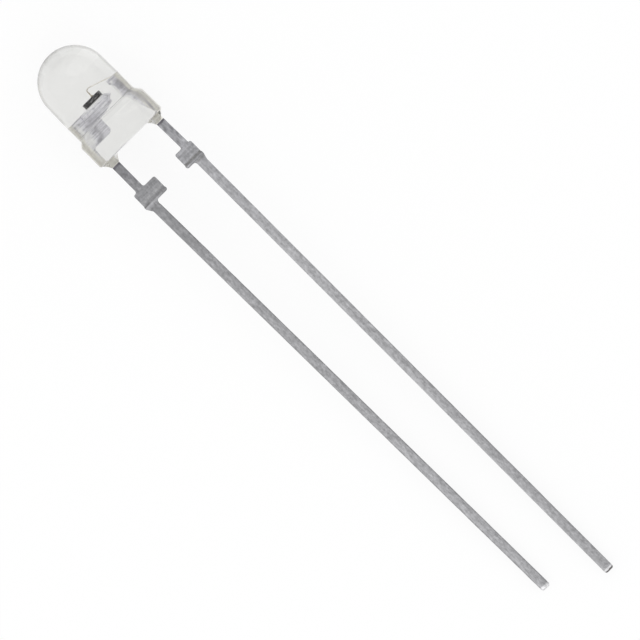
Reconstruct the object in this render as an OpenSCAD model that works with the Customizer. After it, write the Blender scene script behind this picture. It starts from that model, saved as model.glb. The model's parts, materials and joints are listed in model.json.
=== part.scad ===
// Phototransistor in a 3 mm water-clear lens body with two long leads.
//
// It is drawn upright about the lens axis: z = 0 at the foot of the flange, the dome at +Z,
// X across the two leads with the emitter at +X, and Y through the thickness of the strip.
// lay_down() then rests the finished device on a level surface, on the rim of its flange
// and the tips of both leads, with the dome towards +X.

/* [Lens body] */
// Diameter of the barrel where a panel clip holds it
barrel_d = 3.1; // [2.6:0.05:3.8]
// Height from the foot of the flange to the top of the dome
body_h = 4.78; // [4.2:0.02:6]
// Straight length of barrel above the flange
grip_h = 1.05; // [0.6:0.05:1.3]
// Radius that the barrel loses between its straight length and the dome
barrel_draft = 0.02; // [0.01:0.005:0.05]

/* [Flange] */
// How far the flange stands out from the barrel
flange_lip = 0.24; // [0.15:0.01:0.5]
// Height of the flange
flange_h = 1.39; // [1.1:0.01:1.6]
// Radius that the side of the flange loses on its way up
flange_draft = 0.02; // [0.005:0.005:0.05]
// Width of the chamfer round the top of the flange
chamfer_w = 0.2; // [0.08:0.01:0.3]
// Height of that chamfer
chamfer_h = 0.23; // [0.1:0.01:0.4]
// Depth of the flat that marks the collector
flat_depth = 0.09; // [0.05:0.01:0.25]
// How far the chamfer above the flat sits below the one round the rim
flat_drop = 0.11; // [0:0.01:0.2]
// Rounding at the foot of the flange
foot_round = 0.1; // [0.05:0.01:0.2]
// Least epoxy left outside a lead in the flange
flange_cover = 0.2; // [0.1:0.01:0.4]
// Height that the epoxy climbs down a lead from the flange
climb_h = 0.3; // [0.15:0.01:0.4]
// Width of that collar of epoxy where it leaves the flange
climb_w = 0.25; // [0.1:0.01:0.35]

/* [Leads] */
// Distance between the leads where they leave the flange
lead_pitch = 2.52; // [2:0.01:3]
// Distance of the pair's middle from the lens axis, towards the emitter
frame_shift = 0.08; // [0:0.01:0.15]
// Width of the stamped strip
strip_w = 0.38; // [0.3:0.01:0.5]
// Thickness of the stamped strip
strip_t = 0.38; // [0.3:0.01:0.5]
// Length of the collector lead below the flange
collector_len = 24.85; // [10:0.05:30]
// Length of the emitter lead below the flange
emitter_len = 26.15; // [10:0.05:32]
// Angle at which the collector lead runs in below its stub
collector_lean = 1; // [0:0.05:1.5]
// Angle at which the emitter lead spreads between flange and stub
emitter_spread = 1.2; // [0:0.1:2]
// Angle at which the emitter lead spreads below its stub
emitter_lean = 0.24; // [0:0.02:1]
// Step of each lead away from the other below its stub
leg_step = 0.035; // [0:0.005:0.05]

/* [Tie-bar stubs] */
// Depth of the stubs' upper edge below the flange
stub_depth = 1.72; // [1:0.02:3]
// Height of the stubs along the lead
stub_h = 0.75; // [0.4:0.01:1]
// Reach of the collector's stub towards the other lead, from the lead's middle
collector_stub_in = 0.8; // [0.4:0.01:1]
// Reach of the collector's stub away from the other lead
collector_stub_out = 0.38; // [0.28:0.01:0.6]
// Reach of the emitter's stub towards the other lead
emitter_stub_in = 0.59; // [0.4:0.01:1]
// Reach of the emitter's stub away from the other lead
emitter_stub_out = 0.3; // [0.28:0.01:0.6]
// Rounding of the stubs' free corners
stub_round = 0.06; // [0.03:0.01:0.08]
// Rounding between the stubs' upper edge and the strip
stub_fillet = 0.09; // [0.03:0.01:0.12]
// Length over which the stubs' lower edge runs out to the strip
stub_runout = 0.26; // [0.1:0.01:0.4]

/* [Solder dip] */
// Thickness of the solder coat
solder_t = 0.022; // [0.01:0.002:0.04]
// Height of bare stub above the edge of the dip
dip_edge = 0.66; // [0.3:0.01:0.7]
// How far the bead below that edge stands proud of the coat
bead_proud = 0.05; // [0.02:0.01:0.1]
// Radius of the bead
bead_r = 0.16; // [0.1:0.01:0.3]
// Rounding that the coat gives to the strip's corners
coat_round = 0.07; // [0.03:0.01:0.12]
// Rounding of the lead's tip
tip_round = 0.1; // [0.04:0.01:0.15]

/* [Lead frame in the lens] */
// Least epoxy left outside the frame's edges in the barrel
edge_cover = 0.16; // [0.1:0.01:0.25]
// Height of the die's seat
seat_z = 2.095; // [1.9:0.005:2.5]
// Rim of the seat outside the die
seat_rim = 0.08; // [0.03:0.01:0.15]
// Height of the collector's shoulder
shoulder_z = 0.75; // [0.5:0.01:1]
// Distance of the collector's neck from the lens axis
neck_x = 0.2; // [0.1:0.01:0.5]
// Rounding of the shoulder's free corner
shoulder_round = 0.15; // [0.05:0.01:0.2]
// Rounding between the shoulder and the lead below it
shoulder_fillet = 0.1; // [0.03:0.01:0.15]
// Reach of the anvil's nose past the rim of the seat
nose_reach = 0.135; // [0.05:0.005:0.2]
// Drop of the nose below the seat
nose_drop = 0.19; // [0.15:0.01:0.3]
// Thickness of the coined pad under the die
pad_t = 0.12; // [0.08:0.01:0.2]
// Height over which the pad narrows to the strip
pad_taper = 0.24; // [0.1:0.01:0.3]
// Length of the pad on the collector's side of the axis
pad_back = 0.62; // [0.45:0.01:0.8]
// Gap between the anvil's nose and the emitter's post
frame_gap = 0.23; // [0.15:0.01:0.35]
// Height of the emitter's post
post_z = 2.36; // [2.2:0.01:2.8]
// How far the coined head of the post reaches in past its side
post_nib = 0.04; // [0.02:0.01:0.08]
// Height of that head
post_head = 0.18; // [0.1:0.01:0.3]
// Height at which the post begins to slant out to its lead
slant_z = 1.37; // [1.1:0.01:1.6]

/* [Die] */
// Side of the square die
die_w = 0.55; // [0.4:0.01:0.7]
// Thickness of the die
die_t = 0.21; // [0.15:0.01:0.3]
// Thickness of the adhesive under the die
attach_t = 0.025; // [0.01:0.005:0.04]
// Adhesive squeezed out round the die
attach_fillet = 0.04; // [0.02:0.005:0.06]

/* [Bond wire] */
// Diameter of the wire
wire_d = 0.03; // [0.02:0.001:0.05]
// Diameter of the ball on the die
ball_d = 0.085; // [0.06:0.005:0.11]
// Height of the ball on the die
ball_h = 0.04; // [0.03:0.005:0.05]
// Distance of the ball from the lens axis, towards the emitter
ball_x = 0.06; // [0:0.01:0.15]
// Rise of the wire from the die to its bend
wire_rise = 0.27; // [0.15:0.01:0.4]
// Radius of the bend above the die
loop_r = 0.08; // [0.05:0.01:0.15]
// Radius at which the wire lands on the post
landing_r = 0.15; // [0.1:0.01:0.25]
// Distance from the post's head to where the wire lies down
landing_in = 0.19; // [0.1:0.01:0.3]
// Length of the stitch on the post
stitch_len = 0.12; // [0.08:0.01:0.2]

/* [Hidden] */

// Facets of a full circle on the lens, and on the small round details
$fn = 96;
small_fn = 32;

// Length by which a cutting shape overshoots the surface it trims
over = 0.5;
// Width of the straight part of an edge that only holds a rounding
sink = 0.1;

// Where the two strips leave the flange, and the half width of each
collector_x = frame_shift - lead_pitch / 2;
emitter_x = frame_shift + lead_pitch / 2;
half_w = strip_w / 2;
half_t = strip_t / 2;

// Lens body
barrel_r = barrel_d / 2;
dome_r = barrel_r - barrel_draft;
dome_z = body_h - dome_r;
lead_reach = max(emitter_x, -collector_x) + half_w;
flange_r = max(barrel_r + flange_lip, lead_reach + flange_cover);
flat_x = -(flange_r - flat_depth);
rim_z = flange_h - chamfer_h;

// Collar of epoxy on a lead: a concave arc with this chord, over a thin lip
climb_lip = 0.015;
climb_r = 2 * climb_h;

// Lead frame: edges in the barrel, the anvil's nose and the emitter's post
frame_edge = sqrt(pow(barrel_r - edge_cover, 2) - pow(half_t, 2));
frame_cut = 0.06;
step_z = 0.95;
step_h = 0.25;
seat_x = die_w / 2 + seat_rim / 3;
nose_x = seat_x + nose_reach;
nose_z = seat_z - nose_drop;
heel_x = seat_x + nose_reach / 3;
heel_z = nose_z - nose_reach;
arm_z = heel_z - 0.13;
neck_z = arm_z - 0.23;
post_x = nose_x + frame_gap + post_nib;
pad_w = die_w + 2 * seat_rim;
pad_round = 0.1;

// Stubs and the solder dip
stub_z = -stub_depth - stub_h / 2;
dip_z = -stub_depth - dip_edge;
bead_z = dip_z - bead_r * 0.75;
coat_w = strip_w + 2 * solder_t;
coat_t = strip_t + 2 * solder_t;
leg_out = coat_w / 2 + leg_step;
leg_in = coat_w / 2 - leg_step;
collector_stub_x = collector_x;
emitter_stub_x = emitter_x - stub_z * tan(emitter_spread);

// Die and adhesive
die_z = seat_z + attach_t;
die_top = die_z + die_t;

// Bond wire: its two bends, and the straight run that touches both
wire_r = wire_d / 2;
wire_sunk = wire_r * 0.7;
bend = [ball_x + loop_r, die_top + wire_rise];
landing = [post_x - post_nib + landing_in, post_z + wire_sunk + landing_r];
run = landing - bend;
run_len = sqrt(pow(norm(run), 2) - pow(loop_r + landing_r, 2));
run_angle = atan2(run[1], run[0]) - atan2(loop_r + landing_r, run_len);

// Middle of each lead's tip
function unit(v) = v / norm(v);
function tip(x, lean, len) = [x + (len + stub_z) * tan(lean), 0, tip_round - len];
collector_tip = tip(collector_stub_x - leg_step, collector_lean, collector_len);
emitter_tip = tip(emitter_stub_x + leg_step, emitter_lean, emitter_len);

// Points that carry the device when it lies down: the rim of the flange, and the lowest of
// the rounded corners at each tip
function rim_foot(down) = concat(flange_r * unit([down[0], down[1]]), [foot_round]);
function tip_foot(tip, down) = tip + coat_round * down
    + [sign(down[0]) * (coat_w / 2 - coat_round), coat_t / 2 - coat_round, 0];
function level(down) = let(corner = tip_foot(collector_tip, down))
    unit(cross(rim_foot(down) - corner, tip_foot(emitter_tip, down) - corner));
down = level(level([0, 1, 0]));
up = -down;
along = unit([0, 0, 1] - up[2] * up);
across = cross(up, along);
nose_end = dome_z * along[2] + dome_r;
tail_end = (tip_foot(emitter_tip, down) - [0, 0, tip_round]) * along;
shift = [-(nose_end + tail_end) / 2, (flange_r + flat_x) / 2, rim_foot(down) * down];

// Rests the upright device on the floor, with its box centred on the origin
module lay_down() {
    multmatrix([
        concat(along, [shift[0]]),
        concat(across, [shift[1]]),
        concat(up, [shift[2]]),
    ]) children();
}

// Stands a drawing made in X and Z upright, with its thickness centred on the strip
module in_strip(thickness) {
    rotate([90, 0, 0]) linear_extrude(thickness, center = true) children();
}

// Turns a drawing made in Y and Z so that it runs along X
module across_strip(length) {
    rotate([90, 0, 90]) linear_extrude(length, center = true) children();
}

// Rectangle between two corners, with its own corners rounded
module rounded(low, high, r) {
    translate([low[0] + r, low[1]]) square([high[0] - low[0] - 2 * r, high[1] - low[1]]);
    translate([low[0], low[1] + r]) square([high[0] - low[0], high[1] - low[1] - 2 * r]);
    for (x = [low[0] + r, high[0] - r])
        for (y = [low[1] + r, high[1] - r])
            translate([x, y]) circle(r, $fn = small_fn);
}

// Fills an inner corner at the origin, between +X and +Y, with a concave rounding
module fillet(r) {
    difference() {
        translate([-sink, -sink]) square(r + sink);
        translate([r, r]) circle(r, $fn = small_fn);
    }
}

// ---- Lens body ----

// Half section of the barrel and its dome
module barrel_section() {
    straight_z = flange_h + grip_h;
    polygon([
        [0, foot_round],
        [barrel_r, foot_round],
        [barrel_r, straight_z],
        [dome_r, dome_z],
        [0, dome_z],
    ]);
    intersection() {
        translate([0, dome_z]) circle(dome_r);
        translate([0, dome_z - sink]) square([dome_r + over, dome_r + over]);
        square([dome_r + over, body_h + over]);
    }
}

// Half section of the flange: rounded at its foot, chamfered at its top
module flange_section() {
    polygon([
        [0, 0],
        [flange_r - foot_round, 0],
        [flange_r - foot_round, foot_round],
        [flange_r, foot_round],
        [flange_r - flange_draft, rim_z],
        [flange_r - flange_draft - chamfer_w, flange_h],
        [0, flange_h],
    ]);
    translate([flange_r - foot_round, foot_round]) circle(foot_round, $fn = small_fn);
}

// Outline of the flange across the leads, with the flat on the collector's side
module flat_outline() {
    inner_x = -barrel_r + sink / 2;
    slope = chamfer_h / chamfer_w;
    flat_top = rim_z - flat_drop + (flat_depth - flange_draft) * slope;
    polygon([
        [flat_x + foot_round, 0],
        [flange_r + over, 0],
        [flange_r + over, flange_h],
        [inner_x, flange_h],
        [inner_x, flat_top + (inner_x - flat_x) * slope],
        [flat_x, flat_top],
        [flat_x, foot_round],
        [flat_x + foot_round, foot_round],
    ]);
    translate([flat_x + foot_round, foot_round]) circle(foot_round, $fn = small_fn);
}

// Profile of the epoxy that climbs a lead of this half width
module climb_profile(half) {
    foot = [half + climb_lip, -climb_h];
    head = [half + climb_w, 0];
    chord = head - foot;
    rise = sqrt(pow(climb_r, 2) - pow(norm(chord) / 2, 2));
    hollow = (foot + head) / 2 + rise * unit([chord[1], -chord[0]]);
    difference() {
        translate([0, foot[1]]) square([head[0], climb_h + foot_round]);
        translate(hollow) circle(climb_r);
    }
}

// Epoxy drawn round one lead at the open face of the mould
module climb() {
    half_corner = norm([half_w, half_t]);
    intersection() {
        in_strip(3 * strip_t) {
            climb_profile(half_w);
            mirror([1, 0]) climb_profile(half_w);
        }
        across_strip(3 * strip_w) {
            climb_profile(half_t);
            mirror([1, 0]) climb_profile(half_t);
        }
        rotate_extrude() climb_profile(half_corner);
    }
}

// Both collars of epoxy, trimmed by a cone that carries on from the foot of the flange
module climbs() {
    foot_r = flange_r - 0.8 * foot_round;
    slope = 0.87;
    depth = climb_h + sink;
    intersection() {
        for (x = [collector_x, emitter_x])
            translate([x, 0, 0]) climb();
        translate([0, 0, -depth])
            cylinder(depth + foot_round / 2, foot_r - slope * depth, foot_r + slope * foot_round / 2);
    }
}

module lens_skin() {
    rotate_extrude() barrel_section();
    intersection() {
        rotate_extrude() flange_section();
        in_strip(3 * flange_r) flat_outline();
    }
    climbs();
}

module lens_body() {
    color([0.93, 0.93, 0.91, 0.4]) lay_down() difference() {
        lens_skin();
        collector();
        emitter();
        chip();
        adhesive();
        wire();
    }
}

// ---- Leads ----

// Outline of a stub about the middle of its strip, with the other lead towards +X
module stub_outline(reach_in, reach_out) {
    top = -stub_depth;
    bottom = top - stub_h;
    rounded([-reach_out, bottom], [reach_in, top], stub_round);
    translate([half_w, top]) fillet(stub_fillet);
    mirror([1, 0]) translate([half_w, top])
        fillet(min(stub_fillet, reach_out - half_w - stub_round));
    polygon([
        [-reach_out, bottom + stub_round],
        [-leg_out, bottom - stub_runout],
        [leg_in, bottom - stub_runout],
        [leg_in, bottom - stub_runout / 2],
        [leg_in + stub_fillet, bottom],
        [leg_in + stub_fillet, bottom + stub_round],
    ]);
}

// Section across the strip of the solder on a stub, with its bead below the dip's edge
module dip_section() {
    foot = -stub_depth - stub_h - stub_runout;
    intersection() {
        translate([-coat_t, foot]) square([2 * coat_t, dip_z - foot]);
        union() {
            translate([-coat_t / 2, foot]) square([coat_t, dip_z - foot]);
            for (side = [-1, 1])
                translate([side * (coat_t / 2 + bead_proud - bead_r), bead_z])
                    circle(bead_r, $fn = small_fn);
        }
    }
}

// Coated lead from inside its bead to its tip, square with rounded corners, and as long as
// stated from the stub's middle
module coated_leg(len) {
    half = coat_w / 2;
    start = bead_z - stub_z;
    intersection() {
        translate([0, 0, -len]) linear_extrude(len + start)
            rounded([-half, -coat_t / 2], [half, coat_t / 2], coat_round);
        in_strip(3 * coat_t) rounded([-half, -len], [half, tip_round], tip_round);
        across_strip(3 * coat_w)
            rounded([-coat_t / 2, -len], [coat_t / 2, tip_round], tip_round);
    }
}

// Lower lead about the middle of its strip, with the other lead towards +X
module dipped_leg(reach_in, reach_out, lean, len) {
    intersection() {
        in_strip(3 * coat_t) stub_outline(reach_in, reach_out);
        across_strip(3 * (reach_in + reach_out)) dip_section();
    }
    translate([-leg_step, 0, stub_z]) rotate([0, -lean, 0]) coated_leg(len + stub_z);
}

// Strip from the flange to the middle of its stub
module bare_strip(x, stub_x) {
    polygon([
        [x - half_w, sink],
        [x - half_w, 0],
        [stub_x - half_w, stub_z],
        [stub_x + half_w, stub_z],
        [x + half_w, 0],
        [x + half_w, sink],
    ]);
}

// Collector's frame: from its lead over the shoulder and neck to the anvil's nose
module collector_frame() {
    lead_out = collector_x - half_w;
    lead_in = collector_x + half_w;
    polygon([
        [lead_out, 0],
        [lead_in, 0],
        [lead_in, shoulder_z],
        [-neck_x - shoulder_round, shoulder_z],
        [-neck_x - shoulder_round, shoulder_z + shoulder_round],
        [-neck_x, shoulder_z + shoulder_round],
        [-neck_x, neck_z],
        [heel_x, arm_z],
        [heel_x, heel_z],
        [nose_x, nose_z],
        [seat_x, seat_z],
        [frame_cut - frame_edge, seat_z],
        [-frame_edge, seat_z - frame_cut],
        [-frame_edge, step_z + step_h],
        [lead_out, step_z],
    ]);
    translate([-neck_x - shoulder_round, shoulder_z + shoulder_round])
        circle(shoulder_round, $fn = small_fn);
    translate([lead_in, shoulder_z]) mirror([0, 1]) fillet(shoulder_fillet);
}

// Coined pad that widens the anvil to carry the die
module die_pad() {
    low = seat_z - pad_t - pad_taper;
    intersection() {
        in_strip(pad_w) collector_frame();
        across_strip(4 * barrel_d) polygon([
            [-half_t, low],
            [half_t, low],
            [pad_w / 2, seat_z - pad_t],
            [pad_w / 2, seat_z],
            [-pad_w / 2, seat_z],
            [-pad_w / 2, seat_z - pad_t],
        ]);
        translate([0, 0, low]) linear_extrude(seat_z - low + sink)
            rounded([-pad_back, -pad_w / 2], [nose_x + sink, pad_w / 2], pad_round);
    }
}

module collector() {
    in_strip(strip_t) {
        collector_frame();
        bare_strip(collector_x, collector_stub_x);
        translate([collector_stub_x, 0]) stub_outline(collector_stub_in, collector_stub_out);
    }
    die_pad();
    translate([collector_stub_x, 0, 0])
        dipped_leg(collector_stub_in, collector_stub_out, collector_lean, collector_len);
}

// Emitter's frame: its post, with a coined head, slanting out to the lead below
module emitter_frame() {
    lead_out = emitter_x + half_w;
    lead_in = emitter_x - half_w;
    polygon([
        [lead_in, 0],
        [lead_out, 0],
        [lead_out, step_z],
        [frame_edge, step_z + step_h],
        [frame_edge, post_z - frame_cut],
        [frame_edge - frame_cut, post_z],
        [post_x - post_nib, post_z],
        [post_x - post_nib, post_z - post_head],
        [post_x, post_z - post_head - post_nib],
        [post_x, slant_z],
        [lead_in, foot_round],
    ]);
}

module emitter() {
    in_strip(strip_t) {
        emitter_frame();
        bare_strip(emitter_x, emitter_stub_x);
        translate([emitter_stub_x, 0]) mirror([1, 0])
            stub_outline(emitter_stub_in, emitter_stub_out);
    }
    translate([emitter_stub_x, 0, 0]) mirror([1, 0, 0])
        dipped_leg(emitter_stub_in, emitter_stub_out, -emitter_lean, emitter_len);
}

module collector_lead() {
    color([0.66, 0.66, 0.68]) lay_down() collector();
}

module emitter_lead() {
    color([0.66, 0.66, 0.68]) lay_down() emitter();
}

// ---- Die, adhesive and bond wire ----

module chip() {
    translate([-die_w / 2, -die_w / 2, die_z]) cube([die_w, die_w, die_t]);
}

// Adhesive under the die, spread a little wider at its foot
module adhesive_section() {
    foot = die_w / 2 + attach_fillet;
    top = die_w / 2;
    polygon([[-foot, seat_z], [foot, seat_z], [top, die_z], [-top, die_z]]);
}

module adhesive() {
    intersection() {
        in_strip(2 * die_w) adhesive_section();
        across_strip(2 * die_w) adhesive_section();
    }
}

// Straight wire along X, and whatever carries on from its end
module straight(len) {
    rotate([0, 90, 0]) cylinder(len, wire_r, wire_r, $fn = small_fn);
    translate([len, 0, 0]) children();
}

// Wire that starts along X and turns, left where the turn is positive, and what carries on
module bent(r, turn) {
    side = sign(turn);
    translate([0, side * r, 0]) {
        rotate(min(turn, 0) - 90 * side) rotate_extrude(angle = abs(turn))
            translate([r, 0]) circle(wire_r, $fn = small_fn);
        rotate(turn) translate([0, -side * r, 0]) children();
    }
}

// Ball pressed flat on the die
module ball() {
    intersection() {
        translate([ball_x, 0, die_top + ball_h / 2]) sphere(d = ball_d, $fn = small_fn);
        translate([ball_x - ball_d, -ball_d, die_top]) cube([2 * ball_d, 2 * ball_d, ball_h]);
    }
}

// Stitch that ends the wire: pressed flat on the post and spread like a fish's tail
module stitch() {
    translate([landing[0], 0, post_z]) linear_extrude(wire_r) polygon([
        [0, -wire_r],
        [stitch_len, -wire_d],
        [stitch_len, wire_d],
        [0, wire_r],
    ]);
}

// Wire from the ball up over its bend, down to the post and flat on to it
module wire() {
    ball();
    difference() {
        rotate([90, 0, 0]) translate([ball_x, die_top + ball_h, 0]) rotate(90)
            straight(wire_rise - ball_h)
            bent(loop_r, run_angle - 90)
            straight(run_len)
            bent(landing_r, -run_angle)
            straight(stitch_len / 3);
        translate([post_x, -over / 2, post_z - over]) cube([frame_edge, over, over]);
    }
    stitch();
}

module die() {
    color([0.16, 0.15, 0.17]) lay_down() chip();
}

module die_attach() {
    color([0.82, 0.82, 0.84]) lay_down() adhesive();
}

module bond_wire() {
    color([0.86, 0.68, 0.3]) lay_down() wire();
}

lens_body();
collector_lead();
emitter_lead();
die();
die_attach();
bond_wire();
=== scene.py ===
"""Phototransistor in a clear lens body: models its pieces, finishes and stage on its frame."""

import json
from math import atan, cos, pi, radians, sin, sqrt, tan

import bmesh
import bpy
from mathutils import Matrix, Vector


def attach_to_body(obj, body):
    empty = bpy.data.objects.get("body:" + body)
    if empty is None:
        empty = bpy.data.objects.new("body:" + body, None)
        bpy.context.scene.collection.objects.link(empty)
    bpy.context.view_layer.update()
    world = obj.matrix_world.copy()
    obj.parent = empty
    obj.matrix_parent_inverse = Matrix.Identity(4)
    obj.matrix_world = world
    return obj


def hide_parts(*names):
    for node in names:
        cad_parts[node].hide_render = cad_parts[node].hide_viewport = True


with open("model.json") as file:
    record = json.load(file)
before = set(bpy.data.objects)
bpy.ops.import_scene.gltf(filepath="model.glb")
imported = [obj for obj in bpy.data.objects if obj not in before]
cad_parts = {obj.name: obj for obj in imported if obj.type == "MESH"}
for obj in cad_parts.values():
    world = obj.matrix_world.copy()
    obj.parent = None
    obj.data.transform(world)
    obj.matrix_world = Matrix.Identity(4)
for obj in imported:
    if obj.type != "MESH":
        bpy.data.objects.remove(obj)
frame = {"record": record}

bl_info = {
    "name": "Phototransistor Looks",
    "version": (1, 0, 0),
    "blender": (4, 5, 0),
    "location": "View3D > Sidebar > Phototransistor",
    "description": "Models a phototransistor's lens, leads, die and wire, and lights them",
    "category": "Object",
}

MM = 0.001
NEAR = 0.0005 * MM  # places closer than this count as one
FAR = 1  # metres, beyond every piece
EVERYWHERE = (-FAR, FAR)
ON_PLANE = 1e-9  # metres between a cutting plane and the corners that it meets
ROUND = 128  # sides of a turned shape
LONG = 1 * MM  # an edge above this runs along a leg
SHARP = radians(35)  # stamping and moulding round edges above this
SMOOTH = radians(32)  # edges below this are shaded smooth


def device_place():
    """Matrix that lays the upright device down on its frame's foot and axes."""
    mounts = {mount["name"]: mount for mount in frame["record"]["mounts"]}
    foot = Vector(mounts["flange_foot"]["pos_m"])
    along = Vector(mounts["barrel_grip"]["axis"]).normalized()
    span = Vector(mounts["emitter_end"]["pos_m"]) - Vector(mounts["collector_end"]["pos_m"])
    across = (span - span.dot(along) * along).normalized()
    turn = Matrix((across, along.cross(across), along)).transposed()
    return Matrix.Translation(foot) @ turn.to_4x4()


# Upright pieces have the lens axis along Z. Flat ones are drawn as the strip lies before it is
# stamped: X across the leads, Y towards the dome and Z through the thickness.
UPRIGHT = device_place()
FLAT = UPRIGHT @ Matrix.Rotation(pi / 2, 4, "X")
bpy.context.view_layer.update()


def length(name, millimetres, description):
    """A size that a user may change."""
    shown = {"name": name, "description": description, "precision": 6, "unit": "LENGTH"}
    return bpy.props.FloatProperty(default=millimetres * MM, min=0, **shown)


def angle(name, degrees, description):
    """An angle that a user may change."""
    shown = {"name": name, "description": description, "precision": 3, "unit": "ROTATION"}
    return bpy.props.FloatProperty(default=radians(degrees), **shown)


def colour(name, red, green, blue, description):
    """A colour that a user may change."""
    shown = {"name": name, "description": description, "subtype": "COLOR"}
    return bpy.props.FloatVectorProperty(
        default=(red, green, blue), size=3, min=0, max=1, **shown
    )


class LensSizes(bpy.types.PropertyGroup):
    barrel_radius: length("Barrel radius", 1.55, "Radius of the straight barrel")
    dome_radius: length("Dome radius", 1.53, "Radius of the dome")
    body_height: length("Body height", 4.78, "Height of the dome above the flange's foot")
    grip_height: length("Grip height", 1.05, "Straight length of barrel above the flange")
    flange_radius: length("Flange radius", 1.79, "Radius of the flange at its foot")
    flange_height: length("Flange height", 1.39, "Height of the flange")
    flange_draft: length("Flange draft", 0.02, "Radius that the flange's side loses on its way up")
    chamfer_width: length("Chamfer width", 0.2, "Width of the chamfer round the top of the flange")
    chamfer_height: length("Chamfer height", 0.23, "Height of that chamfer")
    foot_round: length("Foot rounding", 0.1, "Rounding at the foot of the flange")
    rim_round: length("Rim rounding", 0.08, "Rounding where the flange's side meets its chamfer")
    joint_round: length("Joint rounding", 0.05, "Rounding where the chamfer meets the barrel")
    flat_depth: length("Flat depth", 0.09, "Depth of the flat on the collector's side")
    flat_drop: length("Flat drop", 0.11, "How far the chamfer above the flat sits below the rim's")
    collar_height: length("Collar height", 0.3, "Height that the epoxy climbs down a lead")
    collar_width: length("Collar width", 0.25, "Width of that collar where it leaves the flange")
    collar_lip: length("Collar lip", 0.015, "Thickness of the collar at its edge on the lead")
    collar_hollow: length("Collar hollow", 0.6, "Radius of the collar's hollow side")


class LeadSizes(bpy.types.PropertyGroup):
    collector_x: length("Collector place", 1.18, "Distance of that lead from the lens axis")
    emitter_x: length("Emitter place", 1.34, "Distance of that lead from the lens axis")
    strip: length("Strip", 0.38, "Width and thickness of the stamped strip")
    edge_round: length("Edge rounding", 0.03, "Rounding that stamping leaves on the strip's edges")
    collector_length: length("Collector length", 24.85, "Length of that lead below the flange")
    emitter_length: length("Emitter length", 26.15, "Length of that lead below the flange")
    collector_lean: angle("Collector lean", 1.0, "Angle at which that lead runs in below its stub")
    emitter_spread: angle("Emitter spread", 1.2, "Angle at which that lead spreads above its stub")
    emitter_lean: angle("Emitter lean", 0.24, "Angle at which it spreads below its stub")
    leg_step: length("Leg step", 0.035, "Step of each lead away from the other below its stub")
    stub_depth: length("Stub depth", 1.72, "Depth of the stubs' upper edge below the flange")
    stub_height: length("Stub height", 0.75, "Height of the stubs along the lead")
    collector_stub_in: length("Collector stub in", 0.8, "Reach of that stub towards the emitter")
    collector_stub_out: length("Collector stub out", 0.38, "Reach of that stub to the outside")
    emitter_stub_in: length("Emitter stub in", 0.59, "Reach of that stub towards the collector")
    emitter_stub_out: length("Emitter stub out", 0.3, "Reach of that stub to the outside")
    stub_round: length("Stub rounding", 0.08, "Rounding of the stubs' free corners")
    stub_fillet: length("Stub fillet", 0.09, "Rounding between a stub and its strip")
    stub_runout: length("Stub run-out", 0.26, "Length over which a stub runs out to its lead")
    dip_depth: length("Dip depth", 2.38, "Depth below the flange at which the solder begins")
    solder: length("Solder", 0.022, "Thickness of the solder coat")
    bead_rise: length("Bead rise", 0.05, "How far the bead of solder stands above the coat")
    bead_radius: length("Bead radius", 0.16, "Radius of the bead of solder")
    coat_round: length("Coat rounding", 0.07, "Rounding that the solder gives to a lead's corners")
    tip_round: length("Tip rounding", 0.09, "Rounding of a lead's tip")


class FrameSizes(bpy.types.PropertyGroup):
    edge_x: length("Frame edge", 1.377, "Distance of the frame's outer edges from the lens axis")
    edge_chamfer: length("Frame chamfer", 0.06, "Chamfer at the top of those edges")
    shoulder: length("Shoulder", 0.75, "Height of the collector's shoulder")
    shoulder_round: length("Shoulder rounding", 0.15, "Rounding of the shoulder's free corner")
    shoulder_fillet: length("Shoulder fillet", 0.1, "Rounding between the shoulder and the lead")
    neck_x: length("Neck", 0.2, "Distance of the collector's neck from the lens axis")
    seat: length("Seat", 2.095, "Height of the die's seat")
    nose_x: length("Nose", 0.437, "Distance of the anvil's nose from the lens axis")
    pad_width: length("Pad width", 0.71, "Width of the coined pad under the die")
    pad_thickness: length("Pad thickness", 0.12, "Thickness of that pad")
    pad_taper: length("Pad taper", 0.24, "Height over which the pad narrows to the strip")
    pad_back: length("Pad back", 0.62, "Length of the pad on the collector's side")
    post_top: length("Post top", 2.36, "Height of the emitter's post")
    post_x: length("Post side", 0.707, "Distance of the post's inner side from the lens axis")
    post_nib: length("Post nib", 0.04, "How far the post's head reaches in past its side")
    post_head: length("Post head", 0.18, "Height of that head")
    slant: length("Slant", 1.37, "Height at which the post begins to slant out to its lead")


class DieSizes(bpy.types.PropertyGroup):
    width: length("Die width", 0.55, "Side of the square die")
    thickness: length("Die thickness", 0.21, "Thickness of the die")
    attach: length("Adhesive", 0.025, "Thickness of the adhesive under the die")
    spread: length("Spread", 0.04, "Adhesive squeezed out round the die")


class WireSizes(bpy.types.PropertyGroup):
    radius: length("Wire radius", 0.015, "Radius of the bond wire")
    ball_radius: length("Ball radius", 0.0425, "Radius of the ball on the die")
    ball_height: length("Ball height", 0.04, "Height of the flattened ball")
    ball_x: length("Ball place", 0.06, "Distance of the ball from the lens axis")
    rise: length("Rise", 0.27, "Rise of the wire from the die to its bend")
    loop_radius: length("Loop radius", 0.08, "Radius of the bend above the die")
    landing_radius: length("Landing radius", 0.15, "Radius at which the wire lands on the post")
    landing_x: length("Landing place", 0.857, "Distance of the landing from the lens axis")
    stitch: length("Stitch", 0.12, "Length of the stitch on the post")


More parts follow.
